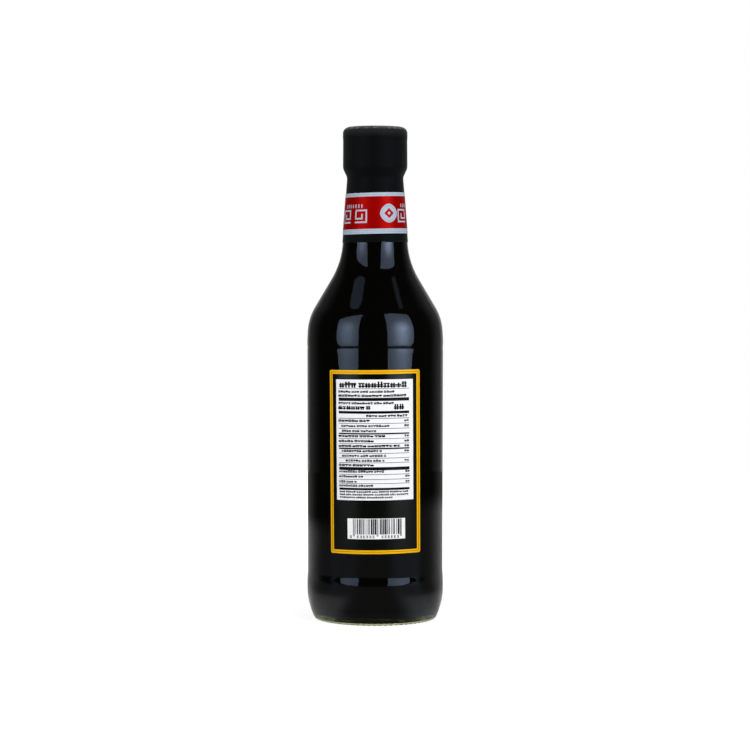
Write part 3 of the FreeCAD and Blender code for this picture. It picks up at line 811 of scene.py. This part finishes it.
def print_table(sheet, rng, left, right, top):
    """Rules and rows of words. Levels are millimetres down from the white panel's upper edge."""
    spread = 1.14  # ink spreads a little into the paper
    width = (right - left) / MM

    def rules(thickness, *levels):
        """Lines across the table, all of one thickness."""
        for level in levels:
            foot = top - (level + thickness / 2) * MM
            sheet.field(left, right, foot, foot + thickness * MM, 3, INK)

    def words(head, foot, weight, begin, end):
        """A line of words from begin to end, measured from the table's left side."""
        print_words(sheet, rng, left + begin * MM, left + end * MM, top - foot * MM,
                    (foot - head) * MM, spread * weight * MM)

    for line in ((1.0, 4.1, 0.76, 0.8, width - 1.3), (5.4, 6.6, 0.35, 0, 30),
                 (7.3, 8.6, 0.44, 0, width), (11.1, 12.3, 0.35, 0, 28), (13.0, 14.9, 0.6, 0, 17.5),
                 (12.2, 15.0, 0.7, width - 7.8, width - 0.3), (17.3, 18.6, 0.36, 14.5, width)):
        words(*line)
    for line in ((0.24, 4.55), (1.6, 9.82, 44.12), (1.3, 16.25), (0.3, 19.2), (0.75, 26.8, 34.15),
                 (0.26, 21.75, 24.25, 29.25, 31.7, 36.55, 38.9, 41.2, 47.0, 49.4, 51.5),
                 (1.15, 54.2)):
        rules(*line)
    # Rows: the rule's level, the words' indent, reach and weight, and whether a share follows.
    for level, indent, reach, weight, share in (
            (19.2, 0.0, 18.0, 0.46, True), (21.75, 1.4, 26.5, 0.34, True),
            (24.25, 1.8, 20.0, 0.33, False), (26.8, 0.0, 24.0, 0.46, True),
            (29.25, 0.0, 18.0, 0.42, True), (31.7, 0.0, 32.0, 0.46, True),
            (34.15, 1.6, 23.0, 0.34, True), (36.55, 1.8, 24.5, 0.34, False),
            (38.9, 3.8, 24.0, 0.34, True), (41.2, 0.0, 19.0, 0.46, False)):
        words(level + 0.55, level + 1.8, weight, indent, reach)
        if share:
            words(level + 0.55, level + 1.75, 0.34, width - 2.6, width)
    for level, reach, share in ((44.4, 23.5, True), (46.8, 13.0, True), (49.4, 10.0, True),
                                (51.4, 18.0, False)):
        words(level + 0.55, level + 1.75, 0.32, 0, reach)
        if share:
            words(level + 0.55, level + 1.75, 0.32, width - 2.2, width)
    for level, end in ((55.1, width), (56.5, width), (57.9, 27.6448)):
        words(level, level + 0.95, 0.27, 0.3, end)


def print_bars(sheet, rng, left, right, low, high):
    """A patch with plain bars: twelve blocks of seven modules with two bars each, of random
    widths, between guard bars that reach lower, over short marks in place of digits."""
    sheet.field(left, right, low, high, 2, WHITE)
    cursor, module = left + 2.9 * MM, (right - left - 4.8 * MM) / 95
    end_guard, middle_guard = ((0, 1, 1, 1), 8.9 * MM), ((1, 1, 1, 1, 1), 8.9 * MM)
    runs = [(1 + rng.multinomial(3, (0.25,) * 4), 7.9 * MM) for _ in range(12)]
    # Gaps and bars in turn, with a tenth of a module of ink over each bar's sides.
    for widths, reach in (end_guard, *runs[:6], middle_guard, *runs[6:], end_guard):
        for index, width in enumerate(widths):
            if index % 2:
                sheet.field(cursor - 0.1 * module, cursor + (width + 0.1) * module,
                            high - reach, high - 0.25 * MM, 3, INK)
            cursor += width * module
    for start, count in ((1.2, 1), (4.9, 6), (17.2, 6)):
        for index in range(count):
            place = left + (start + 1.55 * index) * MM
            side = place + 0.62 * MM * rng.integers(0, 2)
            for mark in range(3):
                foot = low + (0.5 + 0.52 * mark) * MM
                sheet.field(place, place + 0.95 * MM, foot, foot + 0.25 * MM, 3, INK)
            sheet.field(side, side + 0.3 * MM, low + 0.5 * MM, low + 1.8 * MM, 3, INK)


class VINEGAR_OT_label(bpy.types.Operator):
    """Makes the back label: gold frame, black ground, white panel with a table, barcode patch"""
    bl_idname = "vinegar.label"
    bl_label = "Back label"

    def execute(self, context):
        glass, label = sizes().glass, sizes().label
        outside = glass_outside(glass)
        panel = outside[(outside[:, 1] > glass.bead_top) & (outside[:, 1] < glass.shoulder_height)]
        low, high = panel[0, 1] + 5.3 * MM, panel[-1, 1] - 2.4 * MM
        radius_low = glass.body / 2 - glass.recess_low
        radius_high = glass.body / 2 - glass.recess_high
        mean_radius = (radius_low + radius_high) / 2

        def surface(u, v, n):
            """The recessed panel's wall, with the flat sheet turned a little about its middle."""
            across = u * math.cos(label.skew) - v * math.sin(label.skew)
            height = label.middle + v * math.cos(label.skew) + u * math.sin(label.skew)
            share = (height - low) / (high - low)
            radius = radius_low + (radius_high - radius_low) * share + label.clearance + n
            return wrap(across / mean_radius, radius, height)

        sheet = Sheet(surface, label.paper, 1.0 * MM)
        half, tall, corner, edge = label.width / 2, label.height / 2, label.corner, label.frame
        # The paper: its corners follow a quarter circle, c - sqrt(c^2 - (c - d)^2) at distance d.
        quarter = corner * (1 - np.cos(np.linspace(0, np.pi / 2, 7)))
        u = np.concatenate([quarter - half, np.linspace(-half + corner, half - corner, 49)[1:-1],
                            half - quarter[::-1]])
        inside = np.clip(corner - (half - np.abs(u)), 0, corner)
        trim = corner - np.sqrt(np.maximum(corner ** 2 - inside ** 2, 0))
        sheet.plate(u, -tall + trim, tall - trim, 0.0, label.paper, GOLD)
        sheet.field(-half + edge - 0.15 * MM, half - edge - 0.1 * MM, -tall + edge - 0.1 * MM,
                    tall - edge, 1, BLACK)
        # A fine darker line runs along the middle of the frame.
        line, upright, level = 0.5 * edge, 0.28 * MM, 0.2 * MM
        for side in (line - half, half - line):
            sheet.field(side - upright, side + upright, line - tall, tall - line, 1, DARK_GOLD)
        for side in (line - tall, tall - line):
            sheet.field(line - half, half - line, side - level, side + level, 1, DARK_GOLD)
        rng = np.random.default_rng(11)
        top, left, right = 122.9 * MM - label.middle, -20.08 * MM, 19.8 * MM
        sheet.field(left, right, top - 59.8 * MM, top, 2, WHITE)
        print_table(sheet, rng, left + 1.4 * MM, right - 2.2 * MM, top)
        print_bars(sheet, rng, -14.27 * MM, 15.02 * MM, 43.85 * MM - label.middle,
                   54.04 * MM - label.middle)
        piece = sheet.piece("back_label_print", [
            printed("gold_ink_on_paper", label.gold, 0.4, 0.1, metal=0.15, varnish=0.12),
            printed("black_ink_on_paper", label.black, 0.14, 0.4, warmth=0.72),
            printed("white_ink_on_paper", label.white, 0.5, 0.2, varnish=0.2),
            printed("table_ink", label.ink, 0.5, 0.1, varnish=0.2),
            printed("dark_gold_ink", label.dark_gold, 0.5, 0.1, varnish=0.1)])
        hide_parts("back_label")
        return {"FINISHED"}


# Studio

# What gloss sees at the front, at the sides, at the rear and on the table top, as strengths.
FRONT_GLOSS, SIDE_GLOSS, REAR_GLOSS, TABLE_GLOSS = 0.014, 0.13, 0.40, 0.10


def studio_floor(studio):
    """A pale floor. Seen straight or through glass it is white with a faint shadow, and dark under
    the bottle's foot, a painted shadow; in the gloss it is a table top with a soft far edge, lighter
    behind the bottle and faintly bluish below each softbox."""
    material, add, where = new_material("pale_studio_floor")
    ray = add("LightPath").node.outputs
    x, y, _ = add("SeparateXYZ", where).node.outputs
    distance = add("VectorMath LENGTH", where)
    near = add(LARGER, distance, 0.01)
    backward, sideways = add(OVER, y, near), add(OVER, x, near)
    aside = add("Math ABSOLUTE", sideways)
    glow = add(RAMP, distance, 0.1, 0.5, 0.76, 1.0)
    # Through glass the floor fades to dark under the bottle's foot: a painted shadow.
    through = add(TIMES, glow, add(RAMP, distance, 0.0235, 0.0265))
    seen = add(LARGER, add(TIMES, ray["Is Transmission Ray"], through),
               add(TIMES, ray["Is Camera Ray"], glow))
    # The table's far edge lies nearer at the left than at the right.
    reach = add(TIMES, distance, add(RAMP, sideways, -0.6, 0.6, 1.14, 0.86))
    gloss = add("Mix FLOAT", add(RAMP, reach, 0.45, 0.62),
                add(RAMP, backward, 0.1, 0.85, TABLE_GLOSS, REAR_GLOSS),
                add(RAMP, backward, 0.35, 0.93, FRONT_GLOSS, SIDE_GLOSS))
    # Close to the bottle's sides the table shines brightest.
    close = add(RAMP, distance, 0.05, 0.16, 0.35, 0.0)
    gloss = add(PLUS, gloss, add(TIMES, close, add(RAMP, aside, 0.5, 0.8)))
    box_light = add(RAMP, distance, 0.2, 0.8, 0.10, 0.30)
    for mask in (add(RAMP, sideways, -0.3, 0.3, 0.7, 1.35), add(RAMP, aside, 0.35, 0.6),
                 add(RAMP, backward, -0.35, -0.1, 1.0, 0.0), ray["Is Glossy Ray"]):
        box_light = add(TIMES, box_light, mask)
    white = add("Emission", Strength=add(PLUS, seen, add(TIMES, ray["Is Glossy Ray"], gloss)))
    light = add("AddShader", white, add("Emission", tuple(studio.box_colour), box_light))
    both = add("AddShader", add("BsdfDiffuse", linear("#b4b4b4")), light)
    add("OutputMaterial", add("MixShader", ray["Is Glossy Ray"], both, light))
    return material


def softbox_face(name, hot_spot, base, peak, colour):
    """A softbox's diffuser, brightest round its bulb: base + peak exp(-(distance / width)^2)."""
    width = 0.24
    material, add, where = new_material(name)
    scaled = add(OVER, add("VectorMath DISTANCE", where, hot_spot), width)
    fading = add("Math EXPONENT", add(TIMES, add(TIMES, scaled, scaled), -1.0))
    strength = add("Math MULTIPLY_ADD", fading, peak, base)
    add("OutputMaterial", add("Emission", tuple(colour), strength))
    return material


def light_room(level):
    """The room: even light on matt surfaces, white behind glass and for the camera, and for gloss
    dark in front of the bottle with a pale backdrop behind it."""
    world = bpy.context.scene.world = bpy.data.worlds.new("studio_room")
    add = empty_tree(world)
    ray = add("LightPath").node.outputs
    toward = add("TexCoord").node.outputs["Generated"]
    x, y, _ = add("SeparateXYZ", toward).node.outputs
    flat = add("VectorMath LENGTH", add("VectorMath MULTIPLY", toward, (1, 1, 0)))
    backward = add(OVER, y, add(LARGER, flat, 0.001))
    rear = add(PLUS, add(RAMP, backward, 0.2, 0.85, FRONT_GLOSS, SIDE_GLOSS),
               add(RAMP, backward, 0.80, 0.98, 0.0, REAR_GLOSS - SIDE_GLOSS))
    rear = add(TIMES, rear, add(RAMP, x, -0.6, 0.6, 0.8, 1.15))
    even = add("Mix FLOAT", ray["Is Glossy Ray"], level, rear)
    seen = add(LARGER, ray["Is Camera Ray"], ray["Is Transmission Ray"])
    light = add("Background", (1, 1, 1, 1), add("Mix FLOAT", seen, even, 1.0))
    add("OutputWorld", light)
    world.cycles.sampling_method = "NONE"


def show_in_gloss_only(panel):
    """Hides an object of the stage from every ray but the glossy ones."""
    panel.visible_camera = panel.visible_diffuse = panel.visible_transmission = False
    panel.visible_shadow = False


def stand_panel(name, middle, half_angle, distance, inner_height, outer_height, material):
    """An upright panel square to the bottle: centre + s across + h(s) up, for s = -1 or 1. The
    lower corner on its outer side is cut off."""
    towards = np.array([math.sin(middle), -math.cos(middle), 0.0])
    across = np.array([math.cos(middle), math.sin(middle), 0.0])
    half = math.copysign(distance * math.tan(half_angle), middle)
    places = ((-0.89, 0), (-1, inner_height), (1, outer_height), (1, 0.2), (0.6, 0))
    corners = np.array([distance * towards + side * half * across + np.array([0, 0, height])
                        for side, height in places])
    panel = add_mesh(name, corners, [np.arange(5)[None, :]], [material])
    show_in_gloss_only(panel)


def hang_patch(name, outer, inner, low, high, strength, colour):
    """A dim patch of light overhead that only gloss shows, for the gaps of a ceiling.

    It lies on a ball round the shoulder: c + R (cos e sin a, -cos e cos a, sin e). The elevation e
    runs up from low to high, and both edges run along it: a = first + t (last - first), the inner
    one with four teeth, 4 degrees (4 t mod 1).
    """
    radius, middle_height, count = 1.1, 0.165, 24
    t, step = np.linspace(0, 1, count + 1), np.arange(count)
    e = np.radians(low + (high - low) * t)
    teeth = np.sign(outer[0]) * 4 * (4 * t % 1)
    edges = [wrap(np.radians(first + (last - first) * t + bite), np.cos(e), np.sin(e))
             for (first, last), bite in ((outer, 0), (inner, teeth))]
    points = radius * np.vstack(edges) + np.array([0, 0, middle_height])
    faces = np.stack([step, step + 1, step + count + 2, step + count + 1], axis=1)
    material, add, _ = new_material(name + "_light")
    add("OutputMaterial", add("Emission", tuple(colour), strength))
    patch = add_mesh(name, points, [faces], [material])
    show_in_gloss_only(patch)


def aim_at(holder, place, target):
    """Puts a lamp or camera in its place and turns it to what it looks at."""
    holder.location = place
    holder.rotation_euler = (Vector(target) - holder.location).to_track_quat("-Z", "Y").to_euler()


def hang_lamp(name, degrees, power):
    """A square lamp that lights matt surfaces and points at the bottle's middle."""
    distance, height, size, aim_height, around = 1.1, 0.4, 0.8, 0.12, math.radians(degrees)
    lamp = bpy.data.lights.new(name, "AREA")
    lamp.shape, lamp.size, lamp.energy = "SQUARE", size, power
    holder = link_object(name, lamp)
    aim_at(holder, (distance * math.sin(around), -distance * math.cos(around), height),
           (0.0, 0.0, aim_height))
    holder.visible_glossy = holder.visible_camera = holder.visible_transmission = False


class VINEGAR_OT_studio(bpy.types.Operator):
    """Makes the floor, the room, the lamps, the softboxes and the camera"""
    bl_idname = "vinegar.studio"
    bl_label = "Studio"

    def execute(self, context):
        studio = sizes().studio
        corner = np.arange(96)
        rim = wrap(2 * np.pi * corner / len(corner), studio.floor_radius, 0.0 * corner)
        floor = add_mesh("floor", rim, [corner[None, :]], [studio_floor(studio)])

        # Each softbox: the angles of its middle, its half width and its bulb, its even strength
        # and its bulb's, and the heights of its inner and outer edge.
        distance, bulb_height = studio.box_distance, 0.35
        for name, angles, base, peak, inner, outer in (
                ("softbox_left", (-47, 21, -48), 1.25, 2.2, 1.12, 0.69),
                ("softbox_right", (43.5, 25, 47), 1.5, 5.2, 1.25, 0.93)):
            middle, half, bulb = map(math.radians, angles)
            spot = (math.sin(bulb) * distance, -math.cos(bulb) * distance, bulb_height)
            stand_panel(name, middle, half, distance, inner, outer,
                        softbox_face(name + "_diffuser", spot, base, peak, studio.box_colour))
        hang_patch("ceiling_left", (-76, -78), (-52, -34), 50, 58, 0.42, studio.box_colour)
        hang_patch("ceiling_right", (71, 82), (62, 58), 48.6, 53.5, 0.25, studio.box_colour)
        hang_lamp("fill_lamp", -50, studio.fill)
        hang_lamp("key_lamp", 42, studio.key)
        light_room(studio.level)

        camera = link_object("camera", bpy.data.cameras.new("camera"))
        camera.data.sensor_width, camera.data.lens = 36.0, studio.lens
        camera.data.clip_start, camera.data.clip_end = 0.05, 20.0
        aside = -0.1 * MM
        aim_at(camera, (aside, -studio.camera_distance, studio.camera_height),
               (aside, 0.0, studio.aim_height))
        bpy.context.scene.camera = camera
        bpy.context.scene.view_settings.view_transform = "Standard"
        return {"FINISHED"}


# Panel and registration

OPERATORS = (VINEGAR_OT_glass, VINEGAR_OT_vinegar, VINEGAR_OT_cap, VINEGAR_OT_sleeve,
             VINEGAR_OT_band, VINEGAR_OT_label, VINEGAR_OT_studio)


class VINEGAR_PT_panel(bpy.types.Panel):
    """Lists the sizes, the colours and the pieces"""
    bl_idname = "VINEGAR_PT_panel"
    bl_label = "Vinegar bottle"
    bl_space_type = "VIEW_3D"
    bl_region_type = "UI"
    bl_category = "Vinegar"

    def draw(self, context):
        bottle = context.scene.vinegar_bottle
        for group in bottle.bl_rna.properties.keys():
            values = getattr(bottle, group)
            if not isinstance(values, bpy.types.PropertyGroup):
                continue
            box = self.layout.box()
            box.label(text=group.capitalize())
            for name in values.__annotations__:
                box.prop(values, name)
        for operator in OPERATORS:
            self.layout.operator(operator.bl_idname)


CLASSES = (GlassSizes, SleeveSizes, BandSizes, LabelSizes, StudioSizes, VinegarBottle,
           *OPERATORS, VINEGAR_PT_panel)


def register():
    for cls in CLASSES:
        bpy.utils.register_class(cls)
    bpy.types.Scene.vinegar_bottle = PointerProperty(type=VinegarBottle)


def unregister():
    del bpy.types.Scene.vinegar_bottle
    for cls in reversed(CLASSES):
        bpy.utils.unregister_class(cls)


def main():
    """Makes every piece in order."""
    register()
    bpy.ops.vinegar.glass()
    bpy.ops.vinegar.vinegar()
    bpy.ops.vinegar.cap()
    bpy.ops.vinegar.sleeve()
    bpy.ops.vinegar.band()
    bpy.ops.vinegar.label()
    bpy.ops.vinegar.studio()


if __name__ == "__main__":
    main()
